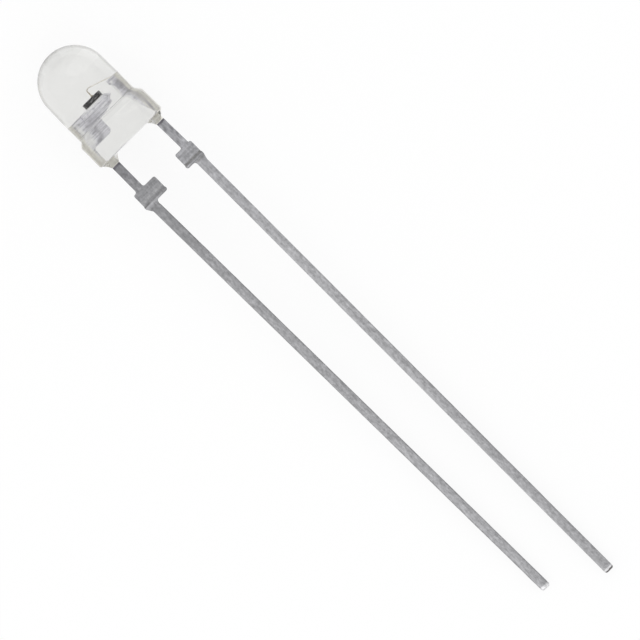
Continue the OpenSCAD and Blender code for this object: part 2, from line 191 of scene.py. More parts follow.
class FinishColours(bpy.types.PropertyGroup):
    epoxy: colour("Epoxy", 0.815, 0.815, 0.8, "Tint of the clear epoxy")
    # Painted shade: darkens the epoxy where it is seen at a slant, and tints the thin line at the
    # flange's top.
    epoxy_shade_and_line: colour("Epoxy rim", 0.36, 0.355, 0.33, "Tint where the epoxy is seen at a slant")
    silver: colour("Silver", 0.77, 0.765, 0.81, "Brushed plating of the frame inside the epoxy")
    # Painted highlight with a tan cast: paler, yellower silver on the outer edges and low down in
    # the flange.
    silver_edge_highlight: colour("Silver edge", 0.98, 0.96, 0.9, "Yellowed plating on the outer edges")
    silver_foot: colour("Silver foot", 0.87, 0.855, 0.8, "Yellowed plating in the collars")
    # White for painted highlights on the plating, and for the paler band across the collector's
    # stub.
    highlight_and_band: colour("Brightening", 1.0, 1.0, 1.0, "Plating rubbed bright by the stamping tool")
    # Painted shade: darker plating in patches, standing in for shade and dark reflections on the
    # metal.
    painted_shade: colour("Dent", 0.45, 0.445, 0.48, "Duller plating where the stamping tool pressed")
    collector_bare: colour("Bare collector", 0.23, 0.23, 0.24, "That strip above its stub")
    emitter_bare: colour("Bare emitter", 0.32, 0.32, 0.335, "That strip above its stub")
    collector_stub: colour("Collector stub", 0.31, 0.31, 0.32, "Plating on the collector's stub")
    emitter_stub: colour("Emitter stub", 0.36, 0.36, 0.375, "Plating on the emitter's stub")
    heat_ring: colour("Heat ring", 0.07, 0.06, 0.08, "Darkened plating just below the epoxy")
    # Painted shade: the dark lines along the solder's edge and where the stub runs out.
    line_shade: colour("Flux", 0.1, 0.096, 0.086, "Flux burnt on along the edge of the solder")
    solder: colour("Solder", 0.36, 0.36, 0.37, "Solder coat on the legs")
    # Painted highlight near the tips of both leads and on the collector's cut end.
    collector_tip: colour("Collector tip", 0.72, 0.72, 0.73, "Solder drawn thin over that tip")
    # Painted shade on the emitter's cut end.
    emitter_tip: colour("Emitter tip", 0.16, 0.15, 0.15, "Cut end of the emitter, bare of solder")
    silicon: colour("Silicon", 0.006, 0.005, 0.006, "Sawn sides of the die")
    window: colour("Window", 0.03, 0.035, 0.07, "Light-sensitive field on top of the die")
    aluminium: colour("Aluminium", 0.75, 0.75, 0.77, "Pad and guard ring on top of the die")
    adhesive: colour("Adhesive", 0.72, 0.72, 0.7, "Silver-filled adhesive under the die")
    # Painted reflection of the dark die on the rising wire.
    gold_riser_reflection: colour("Gold", 0.45, 0.4, 0.3, "Bond wire where it rises from the die")
    gold_run: colour("Gold run", 0.95, 0.9, 0.8, "Bond wire on its way down to the post")
    paper: colour("Paper", 0.95, 0.95, 0.95, "Floor")


class PHOTOTRANSISTOR_Settings(bpy.types.PropertyGroup):
    lens: bpy.props.PointerProperty(type=LensSizes)
    leads: bpy.props.PointerProperty(type=LeadSizes)
    frame: bpy.props.PointerProperty(type=FrameSizes)
    die: bpy.props.PointerProperty(type=DieSizes)
    wire: bpy.props.PointerProperty(type=WireSizes)
    colours: bpy.props.PointerProperty(type=FinishColours)


# ---- Modelling ----


def add(primitive, name, **shape):
    """Adds one primitive with nothing else selected, and opens it for editing."""
    bpy.ops.object.select_all(action="DESELECT")
    primitive(**shape)
    bpy.ops.object.transform_apply(location=True, rotation=True, scale=True)
    piece = bpy.context.object
    piece.name = piece.data.name = name
    bpy.ops.object.mode_set(mode="EDIT")
    return piece


def choose(kind, x=EVERYWHERE, y=EVERYWHERE, z=EVERYWHERE, also=None):
    """Selects what lies wholly inside a box, one of whose spans may be a single place."""
    box = [span if isinstance(span, tuple) else (span, span) for span in (x, y, z)]
    shape = bmesh.from_edit_mesh(bpy.context.object.data)
    bpy.ops.mesh.select_mode(type=kind)
    bpy.ops.mesh.select_all(action="DESELECT")
    for part in {"VERT": shape.verts, "EDGE": shape.edges, "FACE": shape.faces}[kind]:
        corners = [part.co] if kind == "VERT" else [corner.co for corner in part.verts]
        inside = all(
            low - NEAR <= corner[axis] <= high + NEAR
            for corner in corners
            for axis, (low, high) in enumerate(box)
        )
        part.select_set(inside and (also is None or also(part)))
    shape.select_flush_mode()
    bmesh.update_edit_mesh(bpy.context.object.data)


def stands(edge):
    """Whether an edge runs straight through the thickness of the strip."""
    run = edge.verts[1].co - edge.verts[0].co
    return abs(run.z) > 0.99 * run.length


def is_long(edge):
    return edge.calc_length() > LONG


def is_sharp(edge):
    return edge.calc_face_angle(0) > SHARP


def choose_all():
    """Selects the whole shape."""
    bpy.ops.mesh.select_all(action="SELECT")


def push(x=0.0, y=0.0, z=0.0):
    """Extrudes what is selected by a distance."""
    bpy.ops.mesh.extrude_region_move(TRANSFORM_OT_translate={"value": (x, y, z)})


def slide(x=0.0, y=0.0, z=0.0):
    """Moves what is selected by a distance."""
    bpy.ops.transform.translate(value=(x, y, z))


def stretch(x, y, z, about):
    """Scales what is selected about a point."""
    bpy.ops.transform.resize(value=(x, y, z), center_override=about)


def bevel(width, segments, affect="EDGES", clamp=False):
    """Rounds the edges or corners that are selected."""
    bpy.ops.mesh.bevel(affect=affect, offset=width, segments=segments, clamp_overlap=clamp)


def carry_edge(left, right, y):
    """Extrudes the edge at the top of a flat drawing to its next width and height."""
    shape = bmesh.from_edit_mesh(bpy.context.object.data)
    ends = [corner.co for corner in shape.verts if corner.select]
    low, high = min(end.x for end in ends), max(end.x for end in ends)
    middle = (left + right) / 2
    push(x=middle - (low + high) / 2, y=y - ends[0].y)
    stretch((right - left) / (high - low), 1, 1, (middle, y, ends[0].z))


def close_shape():
    """Turns every face outwards and leaves edit mode."""
    choose_all()
    bpy.ops.mesh.normals_make_consistent(inside=False)
    if bmesh.from_edit_mesh(bpy.context.object.data).calc_volume(signed=True) < 0:
        bpy.ops.mesh.flip_normals()
    bpy.ops.object.mode_set(mode="OBJECT")


def slice_at(y):
    """Cuts a ring of edges round the whole shape without opening it."""
    choose_all()
    bpy.ops.mesh.bisect(plane_co=(0, y, 0), plane_no=(0, 1, 0), threshold=ON_PLANE)


def round_corner(x, y, radius, segments=4):
    """Rounds the standing edge at one corner of the outline."""
    choose("EDGE", x, y, also=stands)
    bevel(radius, segments, clamp=True)


def carry_rim(radius, height, next_radius, next_height):
    """Extrudes the round face at the top of a turned shape to its next radius and height."""
    push(z=next_height - height)
    scale = next_radius / radius
    stretch(scale, scale, 1, (0, 0, next_height))
    return next_radius, next_height


def cut(place, normal):
    """Slices the whole shape at a plane, drops the side that the normal points to and closes it."""
    choose_all()
    bpy.ops.mesh.bisect(
        plane_co=place, plane_no=normal, use_fill=True, clear_outer=True, threshold=ON_PLANE
    )


def pick(piece):
    """Selects one piece and nothing else."""
    bpy.ops.object.select_all(action="DESELECT")
    bpy.context.view_layer.objects.active = piece
    piece.select_set(True)


def clear_slivers(gap):
    """Merges corners closer than a gap, which clears very short edges and thin faces."""
    choose_all()
    bpy.ops.mesh.remove_doubles(threshold=gap)


def combine(piece, other, operation):
    """Joins another closed shape to a piece, or trims the piece with it, and removes the other."""
    pick(piece)
    bpy.ops.object.modifier_add(type="BOOLEAN")
    modifier = piece.modifiers[-1]
    modifier.operation = operation
    modifier.object = other
    modifier.solver = "EXACT"
    bpy.ops.object.modifier_apply(modifier=modifier.name)
    bpy.data.objects.remove(other)


def finish_piece(piece, place, material, nodes):
    """Lays a finished piece in its place, shades it and takes over from its CAD nodes."""
    pick(piece)
    piece.matrix_world = place
    bpy.ops.object.transform_apply(location=True, rotation=True, scale=True)
    bpy.ops.object.shade_smooth_by_angle(angle=SMOOTH)
    piece.data.materials.clear()
    piece.data.materials.append(material)
    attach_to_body(piece, "root")
    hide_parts(*nodes)


# ---- Materials ----

EVEN = (1, 1, 1)
WHITE = (1, 1, 1)
NOISE = (0.3, 0.7)  # nearly all of a noise lies between these
GRAIN_DETAIL, GRAIN_ROUGHNESS = 4, 0.62
# Painted shade on the cut sides of the strip: darker overall, more in the torn band.
SHEARED_SHADE, TORN_SHADE = (0.75, 0.75, 0.76), (0.5, 0.49, 0.48)  # how cut sides darken the strip
SAW_CHIPS = (0.24, 0.23, 0.235)
PAPER_GLOW = 0.88  # share of the floor's own white where it is seen
BRIGHT_WAY = (-0.3, 0.3, 1)  # the studio brightens this way
WAVER_SCALE, WAVER_DETAIL = 5, 2

# Places in the flat drawing, in millimetres, between which one look goes over into another.
OUTER_EDGE = (0.98, 1.12)
FRAME_FOOT = (0.55, 0.25)
BARE_TO_STUB = (-0.9, -1.9)
STUB_TO_LEG = (-2.5, -9)

# Stretches along the leads there: both ends, their softness and their waver.
BEYOND = 99
IN_EPOXY = (-0.315, BEYOND, 0.006, 0.01)
IN_COLLAR = (-0.35, -0.14, 0.03, 0.04)
HEATED = (-0.41, -0.31, 0.03, 0.05)
AT_STUB = (-2.5, -1.75, 0.08, 0.05)
PALER_BAND = (-2.25, -2.14, 0.04, 0.06)
DIPPED = (-BEYOND, -2.385, 0.008, 0.04)

# Painted light and marks on each lead there. A painted highlight has its middle, reach and turn, a
# spot of painted shade also its strength, and a line of painted shade its two ends and its
# strength.
# The paler_band entry is the strength of the paler band across the stub, and tip the height of the
# cut end.
MARKS = {
    "collector": {
        "highlights": (
            ((-0.94, 1.55), (0.14, 0.7), 0),
            ((-0.9, 1.08), (0.24, 0.45), radians(-12)),
            ((-0.1, 2.06), (0.6, 0.12), 0),
        ),
        "pressed": (
            ((-0.61, 0.86), (0.26, 0.17), radians(45), 0.95),
            ((-0.4, 1.62), (0.52, 0.36), radians(12), 0.9),
        ),
        "shade_lines": ((-2.42, -2.3, 0.16), (-2.7, -2.61, 0.16)),
        "paler_band": 0.12,
        "tip": 0.08,
    },
    "emitter": {
        "highlights": (
            ((0.87, 0.95), (0.12, 0.5), radians(19)),
            ((0.73, 1.8), (0.08, 0.5), 0),
            ((1.15, -0.05), (0.12, 0.3), 0),
            ((0.78, 2.2), (0.07, 0.12), 0),
        ),
        "pressed": (
            ((1.16, 0.88), (0.2, 0.5), radians(8), 0.6),
            ((1.18, 0.42), (0.11, 0.45), 0, 1),
            ((0.96, 1.85), (0.22, 0.6), 0, 0.85),
            ((1.06, 1.35), (0.145, 0.5), radians(12), 1),
            ((0.68, 2.18), (0.05, 0.12), 0, 1),
        ),
        "shade_lines": ((-2.38, -2.27, 0.6), (-2.58, -2.49, 0.38)),
        "paler_band": 0,
        "tip": 0.07,
    },
}


def node(tree, kind, *values, **settings):
    """Adds a node, sets it up, then joins or sets its inputs in order; None leaves one as it is."""
    made = tree.nodes.new("ShaderNode" + kind)
    for name, value in settings.items():
        setattr(made, name, value)
    for socket, value in zip(made.inputs, values):
        feed(tree, socket, value)
    return made


def feed(tree, socket, value):
    """Joins an input to what feeds it, or sets it; a colour comes with or without its alpha."""
    if isinstance(value, bpy.types.NodeSocket):
        tree.links.new(value, socket)
    elif value is not None:
        socket.default_value = (*value, 1)[:4] if socket.type == "RGBA" else value


def maths(tree, operation, first, second=None):
    """One step of arithmetic."""
    return node(tree, "Math", first, second, operation=operation).outputs[0]


def times(tree, first, second):
    """Two masks or values multiplied."""
    return maths(tree, "MULTIPLY", first, second)


def rest(tree, share):
    """What a share leaves of the whole."""
    return maths(tree, "SUBTRACT", 1, share)


def vector_maths(tree, operation, first, second=None):
    """One step with places or directions, which gives another one, or a number."""
    made = node(tree, "VectorMath", first, second, operation=operation)
    return made.outputs["Value" if operation in ("DOT_PRODUCT", "LENGTH") else "Vector"]


def ramp(tree, value, low, high, at_low=0.0, at_high=1.0):
    """Turns a value that runs from low to high into one that eases from at_low to at_high."""
    run = (value, low, high, at_low, at_high)
    return node(tree, "MapRange", *run, interpolation_type="SMOOTHSTEP").outputs[0]


def blend(tree, share, first, second, how="MIX"):
    """Goes from the first colour to the second by a share."""
    made = node(tree, "Mix", share, data_type="RGBA", blend_type=how)
    feed(tree, made.inputs[6], first)
    feed(tree, made.inputs[7], second)
    return made.outputs[2]


def shade(tree, tone, pattern):
    """Darkens or brightens a colour by a pattern about 1."""
    return blend(tree, 1, tone, pattern, "MULTIPLY")


def flat_place(tree):
    """Object coordinates turned into the flat drawing, in millimetres."""
    place = node(tree, "TexCoord").outputs["Object"]
    lay = (FLAT.translation, FLAT.to_euler(), (MM, MM, MM))
    return node(tree, "Mapping", place, *lay, vector_type="TEXTURE").outputs[0]


def new_material(name):
    """Starts a material, and gives its nodes and its shader's inputs."""
    material = bpy.data.materials.new(name)
    material.use_nodes = True
    return material, material.node_tree, material.node_tree.nodes["Principled BSDF"].inputs


def new_group(name, takes, gives):
    """Starts a node group whose inputs have a name and a default and whose outputs have a name."""
    group = bpy.data.node_groups.new(name, "ShaderNodeTree")
    for title, default in takes.items():
        kind = "NodeSocketVector" if isinstance(default, tuple) else "NodeSocketFloat"
        socket = group.interface.new_socket(name=title, in_out="INPUT", socket_type=kind)
        socket.default_value = default
    for title in gives:
        group.interface.new_socket(name=title, in_out="OUTPUT", socket_type="NodeSocketFloat")
    take, give = (group.nodes.new("NodeGroup" + end) for end in ("Input", "Output"))
    return group, take.outputs, give.inputs


def use(tree, name, *values):
    """Places a node group with its own values, and builds the group the first time."""
    made = tree.nodes.new("ShaderNodeGroup")
    made.node_tree = bpy.data.node_groups.get(name) or GROUPS[name]()
    for socket, value in zip(made.inputs, values):
        feed(tree, socket, value)
    return made.outputs


def build_grain():
    """Grains, or streaks where they are stretched: a shade about 1 and a height from 0 to 1."""
    takes = {"Place": (0, 0, 0), "Squeeze": (1, 1, 1), "Size": 0.1, "Contrast": 0.1}
    group, take, give = new_group("Grain", takes, ("Shade", "Height"))
    spread = vector_maths(group, "MULTIPLY", take["Place"], take["Squeeze"])
    scale = maths(group, "DIVIDE", 1, take["Size"])
    noise = node(group, "TexNoise", spread, None, scale, GRAIN_DETAIL, GRAIN_ROUGHNESS).outputs[0]
    dark, light = rest(group, take["Contrast"]), maths(group, "ADD", 1, take["Contrast"])
    feed(group, give["Shade"], node(group, "MapRange", noise, *NOISE, dark, light).outputs[0])
    feed(group, give["Height"], noise)
    return group


def build_zone():
    """A mask for one stretch along the leads, with soft and slightly wavering ends."""
    takes = {"Place": (0, 0, 0), "From": 0.0, "To": 1.0, "Softness": 0.02, "Waver": 0.02}
    group, take, give = new_group("Zone", takes, ["Mask"])
    noise = node(group, "TexNoise", take["Place"], None, WAVER_SCALE, WAVER_DETAIL).outputs[0]
    sway = times(group, maths(group, "SUBTRACT", noise, 0.5), take["Waver"])
    along = maths(group, "ADD", node(group, "SeparateXYZ", take["Place"]).outputs["Y"], sway)
    begun, ended = (
        ramp(
            group,
            along,
            maths(group, "SUBTRACT", take[end], take["Softness"]),
            maths(group, "ADD", take[end], take["Softness"]),
        )
        for end in ("From", "To")
    )
    feed(group, give["Mask"], times(group, begun, rest(group, ended)))
    return group


def build_spot():
    """A soft oval mask about a point, turned about the thickness of the strip."""
    takes = {"Place": (0, 0, 0), "Centre": (0, 0, 0), "Reach": (1, 1, 1), "Turn": 0.0}
    group, take, give = new_group("Spot", takes, ["Mask"])
    offset = vector_maths(group, "SUBTRACT", take["Place"], take["Centre"])
    turned = node(group, "VectorRotate", offset, rotation_type="Z_AXIS", invert=True)
    feed(group, turned.inputs["Angle"], take["Turn"])
    share = vector_maths(group, "DIVIDE", turned.outputs[0], take["Reach"])
    feed(group, give["Mask"], ramp(group, vector_maths(group, "LENGTH", share), 1, 0.2))
    return group


GROUPS = {"Grain": build_grain, "Zone": build_zone, "Spot": build_spot}


def add_bump(tree, surface, height, depth):
    """Raises a surface by a pattern whose full height is the depth given."""
    bump = tree.nodes.new("ShaderNodeBump")
    bump.inputs["Distance"].default_value = depth
    tree.links.new(height, bump.inputs["Height"])
    tree.links.new(bump.outputs[0], surface["Normal"])


def zone(tree, place, start, end, softness, waver):
    """Mask of one stretch along a lead."""
    return use(tree, "Zone", place, start, end, softness, waver)[0]


def spot(tree, place, middle, reach, turn):
    """Mask of one oval mark on the face of a lead."""
    return use(tree, "Spot", place, (*middle, 0), (*reach, 1), turn)[0]


def lay_on(tree, tone, mask, share, tint):
    """Tints a colour within a mask, at a share of the full strength."""
    return blend(tree, times(tree, mask, share), tone, tint)


def clear_epoxy(tints, sizes):
    """Water-clear epoxy, a little wavy from its mould, with painted shade where the lens turns away
    from the view.
    """
    material, tree, surface = new_material("clear_epoxy")
    place = flat_place(tree)
    joint = sizes.flange_height / MM
    slant = node(tree, "LayerWeight", 0.5).outputs["Facing"]
    lens = zone(tree, place, joint + 0.95, BEYOND, 0.12, 0.02)
    # Painted shade where the lens turns away from the view.
    rim = times(tree, ramp(tree, slant, 0.55, 0.8), lens)
    line = zone(tree, place, joint - 0.02, joint + 0.02, 0.015, 0.01)
    dark = maths(tree, "MAXIMUM", rim, times(tree, line, 0.35))
    tint = blend(tree, dark, tints.epoxy, tints.epoxy_shade_and_line)
    cloud = use(tree, "Grain", place, EVEN, 0.5, 0.02)
    feed(tree, surface["Base Color"], shade(tree, tint, cloud["Shade"]))
    surface["Transmission Weight"].default_value = 1
    surface["IOR"].default_value = 1.53
    feed(tree, surface["Roughness"], ramp(tree, cloud["Height"], *NOISE, 0.015, 0.06))
    ripple = use(tree, "Grain", place, EVEN, 1.1, 0.02)
    add_bump(tree, surface, ripple["Height"], 0.006 * MM)
    return material


def silver_tone(tree, place, tints, marks):
    """Colour of the silver with its painted highlights and painted shade, and a mask of where it is
    calm rather than brushed.
    """
    parts = node(tree, "SeparateXYZ", place).outputs
    edge = ramp(tree, maths(tree, "ABSOLUTE", parts["X"]), *OUTER_EDGE)
    calm = maths(tree, "MAXIMUM", edge, ramp(tree, parts["Y"], *FRAME_FOOT))
    # Painted highlight with a tan cast on the outer edges and low in the flange.
    tone = blend(tree, calm, tints.silver, tints.silver_edge_highlight)
    tone = blend(tree, zone(tree, place, *IN_COLLAR), tone, tints.silver_foot)
    # Spots of painted shade on the silver.
    for middle, reach, turn, share in marks["pressed"]:
        tone = lay_on(tree, tone, spot(tree, place, middle, reach, turn), share, tints.painted_shade)
    # Spots of painted highlight on the silver, left calm and unbrushed.
    for mark in marks["highlights"]:
        highlights = spot(tree, place, *mark)
        tone = blend(tree, highlights, tone, tints.highlight_and_band)
        calm = maths(tree, "MAXIMUM", calm, highlights)
    return tone, calm


def bare_tone(tree, place, tints, side, along, stubbed):
    """Colour of the bare strip: darkened by heat at the top, stained, and cleaner at the stub."""
    bare, stub = getattr(tints, side + "_bare"), getattr(tints, side + "_stub")
    tone = blend(tree, ramp(tree, along, *BARE_TO_STUB), bare, stub)
    tone = lay_on(tree, tone, zone(tree, place, *HEATED), 0.6, tints.heat_ring)
    stain = use(tree, "Grain", place, (1, 0.5, 1), 0.17, 0.35)["Shade"]
    tone = shade(tree, tone, blend(tree, times(tree, stubbed, 0.8), stain, WHITE))
    # A paler band across the stub, at the strength given for each lead.
    paler_band = zone(tree, place, *PALER_BAND)
    return lay_on(tree, tone, paler_band, MARKS[side]["paler_band"], tints.highlight_and_band)


def solder_tone(tree, place, tints, side, along, leg):
    """Colour of the solder: dark at the stub, with a painted highlight just above the tip and
    painted light on the cut end, a highlight on the collector and shade on the emitter.
    """
    tone = blend(tree, 0.5, getattr(tints, side + "_bare"), tints.solder)
    tone = blend(tree, ramp(tree, along, *STUB_TO_LEG), tone, tints.solder)
    end = (MARKS[side]["tip"] * MM - leg) / MM
    # Painted highlight just above the tip.
    lip = zone(tree, place, -BEYOND, end + 0.08, 0.03, 0.06)
    tone = lay_on(tree, tone, lip, 0.7, tints.collector_tip)
    # Painted light on the cut end: a highlight on the collector, shade on the emitter.
    cut_end = zone(tree, place, -BEYOND, end, 0.02, 0.12)
    return blend(tree, cut_end, tone, getattr(tints, side + "_tip"))


def cut_sides(tree, covered):
    """Mask of the sides that stamping sheared, where nothing covers them."""
    through = tuple(FLAT.to_3x3().col[2])
    facing = vector_maths(tree, "DOT_PRODUCT", node(tree, "TexCoord").outputs["Normal"], through)
    turned = ramp(tree, maths(tree, "ABSOLUTE", facing), 0.99, 0.75)
    return times(tree, turned, rest(tree, covered))


def plated_strip(side, tints, leg):
    """Silver-plated strip inside the epoxy, bare below it and dipped in solder lower down."""
    material, tree, surface = new_material(side + "_plating")
    place = flat_place(tree)
    parts = node(tree, "SeparateXYZ", place).outputs
    along, depth = parts["Y"], parts["Z"]
    inside, stubbed, dipped = (zone(tree, place, *part) for part in (IN_EPOXY, AT_STUB, DIPPED))

    silver, calm = silver_tone(tree, place, tints, MARKS[side])
    bared = bare_tone(tree, place, tints, side, along, stubbed)
    coat = solder_tone(tree, place, tints, side, along, leg)
    tone = blend(tree, dipped, blend(tree, inside, bared, silver), coat)
    # Lines of painted shade along the solder's edge and where the stub runs out.
    for start, end, share in MARKS[side]["shade_lines"]:
        line = zone(tree, place, start, end, 0.04, 0.08)
        tone = lay_on(tree, tone, line, share, tints.line_shade)
    sides = cut_sides(tree, maths(tree, "MAXIMUM", inside, dipped))
    torn = ramp(tree, depth, 0.06, 0.02)
    side_shade = blend(tree, torn, SHEARED_SHADE, TORN_SHADE)
    # Painted shade on the cut sides outside the epoxy and the solder, deeper in the torn band,
    # which is also rougher as a real torn edge is.
    tone = blend(tree, sides, tone, shade(tree, tone, side_shade))

    grain = use(tree, "Grain", place, (1, 0.6, 1), 0.09, 0.25)
    drawn = use(tree, "Grain", place, (1, 0.2, 1), 0.08, 0.2)
    brushed = use(tree, "Grain", place, (0.06, 1, 1), 0.045, 0.4)
    rolled = use(tree, "Grain", place, (0.15, 1, 1), 0.13, 0.25)
    lines = blend(tree, stubbed, drawn["Shade"], rolled["Shade"])
    lines = blend(tree, inside, lines, brushed["Shade"])
    ridges = blend(tree, inside, drawn["Height"], brushed["Height"])
    smooth = times(tree, times(tree, calm, inside), 0.8)
    wear = blend(tree, smooth, shade(tree, lines, grain["Shade"]), WHITE)
    feed(tree, surface["Base Color"], shade(tree, tone, wear))
    surface["Metallic"].default_value = 1
    rough = times(tree, times(tree, sides, torn), 0.2)
    rough = maths(tree, "ADD", ramp(tree, grain["Height"], *NOISE, 0.34, 0.5), rough)
    feed(tree, surface["Roughness"], rough)
    relief = times(tree, maths(tree, "ADD", grain["Height"], ridges), rest(tree, smooth))
    add_bump(tree, surface, relief, 0.002 * MM)
    return material


def sawn_silicon(tints, sizes, top):
    """Sawn silicon, with a window, a guard ring and a pad on top."""
    material, tree, surface = new_material("sawn_silicon")
    place = flat_place(tree)
    parts = node(tree, "SeparateXYZ", place).outputs
    sawn = use(tree, "Grain", place, (0.5, 1, 0.5), 0.06, 0.7)
    side = shade(tree, tints.silicon, sawn["Shade"])
    chipped = ramp(tree, sawn["Height"], 0.53, 0.63, 0, 0.9)
    side = blend(tree, chipped, side, SAW_CHIPS)
    square = maths(tree, "MAXIMUM", *(maths(tree, "ABSOLUTE", parts[axis]) for axis in "XZ"))
    half = sizes.width / MM / 2
    outer = ramp(tree, square, half - 0.062, half - 0.058)
    inner = ramp(tree, square, half - 0.036, half - 0.04)
    guard = times(tree, outer, inner)
    pad = use(tree, "Spot", place, (0.06, top / MM, 0), (0.11, 0.11, 0.11))[0]
    metal = maths(tree, "MAXIMUM", guard, ramp(tree, pad, 0.2, 0.3))
    face = blend(tree, metal, tints.window, tints.aluminium)
    upper = ramp(tree, parts["Y"], (top - 0.0075 * MM) / MM, (top - 0.0065 * MM) / MM)
    feed(tree, surface["Base Color"], blend(tree, upper, side, face))
    feed(tree, surface["Metallic"], times(tree, upper, metal))
    surface["Specular IOR Level"].default_value = 0.2
    feed(tree, surface["Roughness"], ramp(tree, upper, 0, 1, 0.5, 0.18))
    add_bump(tree, surface, sawn["Height"], 0.002 * MM)
    return material


def silver_adhesive(tints):
    """Adhesive full of silver flakes."""
    material, tree, surface = new_material("silver_adhesive")
    flakes = use(tree, "Grain", flat_place(tree), EVEN, 0.02, 0.25)
    feed(tree, surface["Base Color"], shade(tree, tints.adhesive, flakes["Shade"]))
    feed(tree, surface["Metallic"], ramp(tree, flakes["Height"], 0.4, 0.6, 0.2, 0.8))
    feed(tree, surface["Roughness"], ramp(tree, flakes["Height"], 0.35, 0.65, 0.6, 0.35))
    add_bump(tree, surface, flakes["Height"], 0.003 * MM)
    return material


def drawn_gold(tints):
    """Gold wire with fine drawing marks, darkened near the die by a painted reflection of the die
    and brighter where it runs from its loop to the post.
    """
    material, tree, surface = new_material("drawn_gold")
    place = flat_place(tree)
    marks = use(tree, "Grain", place, EVEN, 0.012, 0.12)
    # Painted reflection: darker where the wire rises beside the die, brighter along its run down to
    # the post.
    run = ramp(tree, node(tree, "SeparateXYZ", place).outputs["X"], 0.08, 0.3)
    tone = blend(tree, run, tints.gold_riser_reflection, tints.gold_run)
    feed(tree, surface["Base Color"], shade(tree, tone, marks["Shade"]))
    surface["Metallic"].default_value = 1
    feed(tree, surface["Roughness"], ramp(tree, marks["Height"], *NOISE, 0.25, 0.42))
    add_bump(tree, surface, marks["Height"], 0.001 * MM)
    return material


def seen_directly(tree):
    """1 for what the camera, mirrors and glass see, 0 for light that falls on other things."""
    path = node(tree, "LightPath").outputs
    seen = maths(tree, "MAXIMUM", path["Is Camera Ray"], path["Is Glossy Ray"])
    return maths(tree, "MAXIMUM", seen, path["Is Transmission Ray"])


def floor_paper(tints):
    """Pale paper that is seen as nearly white and still takes a shadow."""
    material, tree, surface = new_material("floor_paper")
    feed(tree, surface["Base Color"], tints.paper)
    surface["Roughness"].default_value = 0.9
    surface["Specular IOR Level"].default_value = 0
    glow = node(tree, "Emission", WHITE, 1).outputs[0]
    share = times(tree, seen_directly(tree), PAPER_GLOW)
    paper = tree.nodes["Principled BSDF"].outputs[0]
    mix = node(tree, "MixShader", share, paper, glow).outputs[0]
    feed(tree, tree.nodes["Material Output"].inputs["Surface"], mix)
    return material


def light_world(tree):
    """A white studio that is darker low down behind the lens; the camera sees it white."""
    direction = node(tree, "TexCoord").outputs["Generated"]
    height = vector_maths(tree, "DOT_PRODUCT", direction, BRIGHT_WAY)
    level = ramp(tree, height, -0.25, 0.6, 0.55, 1)
    glow = tree.nodes["Background"].inputs
    feed(tree, glow["Color"], WHITE)
    seen = node(tree, "LightPath").outputs["Is Camera Ray"]
    feed(tree, glow["Strength"], maths(tree, "MAXIMUM", level, seen))


# ---- Pieces ----

FOOT_STEPS, FLAT_STEPS, DOME_STEPS, COLLAR_STEPS, BEAD_STEPS = 8, 5, 32, 10, 8
LEG_RINGS = 60
UNEVEN_SOLDER = 0.15  # of its thickness
UNEVEN_FOOT = 0.006 * MM  # of the adhesive
COLLAR_SLOPE = 0.87  # of the cone that keeps the collars inside the flange
SAWN_EDGE = 0.006 * MM
STREET = (0.024 * MM, -0.004 * MM)  # width and rise of the sawn margin on the die's top
FIELD = (0.012 * MM, 0.003 * MM)  # and of the step up to the field inside it
STITCH = ((0.3, 0.5, 1.3), (0.7, 0.4, 1.6))  # share of its length, thinned and widened by


def add_disc(name, radius, vertices=ROUND, **place):
    """Adds a round face from which a piece is drawn up."""
    disc = bpy.ops.mesh.primitive_circle_add
    return add(disc, name, vertices=vertices, radius=radius, fill_type="NGON", **place)


def model_flange(sizes):
    """Turns the flange, then cuts the flat with its rounded foot and its own chamfer."""
    inner = sizes.flange_radius - sizes.foot_round
    flange = add_disc("lens_shell", inner)
    rim = (inner, 0.0)
    for step in range(1, FOOT_STEPS + 1):
        turn = step * pi / (2 * FOOT_STEPS)
        out, up = sizes.foot_round * sin(turn), sizes.foot_round * (1 - cos(turn))
        rim = carry_rim(*rim, inner + out, up)
    rim_height = sizes.flange_height - sizes.chamfer_height
    slope = sizes.chamfer_height / sizes.chamfer_width
    rim = carry_rim(*rim, sizes.flange_radius - sizes.flange_draft, rim_height)
    under_barrel = sizes.barrel_radius - 0.05 * MM
    carry_rim(*rim, under_barrel, rim_height + (rim[0] - under_barrel) * slope)
    choose("EDGE", z=rim_height)
    bevel(sizes.rim_round, 5)
    flat = -(sizes.flange_radius - sizes.flat_depth)
    for step in range(1, FLAT_STEPS):
        turn = step * pi / (2 * FLAT_STEPS)
        out = Vector((-sin(turn), 0, -cos(turn)))
        cut(Vector((flat + sizes.foot_round, 0, sizes.foot_round)) + out * sizes.foot_round, out)
    cut((flat, 0, 0), (-1, 0, 0))
    top = rim_height - sizes.flat_drop + (sizes.flat_depth - sizes.flange_draft) * slope
    cut((flat, 0, top), (-slope, 0, 1))
    close_shape()
    return flange


def fillet_joint(shell, sizes):
    """Clears the unions' slivers, then rounds the hollow edge between chamfer and barrel."""
    pick(shell)
    bpy.ops.object.mode_set(mode="EDIT")
    clear_slivers(NEAR)

    def joins(edge):
        off = [abs(corner.co.xy.length - sizes.barrel_radius) for corner in edge.verts]
        run = edge.verts[1].co - edge.verts[0].co
        return abs(run.z) < 0.9 * run.length and max(off) < 4 * NEAR

    above = sizes.flange_height + sizes.grip_height / 2
    choose("EDGE", z=(sizes.flange_height / 2, above), also=joins)
    bevel(sizes.joint_round, 3)
    bpy.ops.object.mode_set(mode="OBJECT")


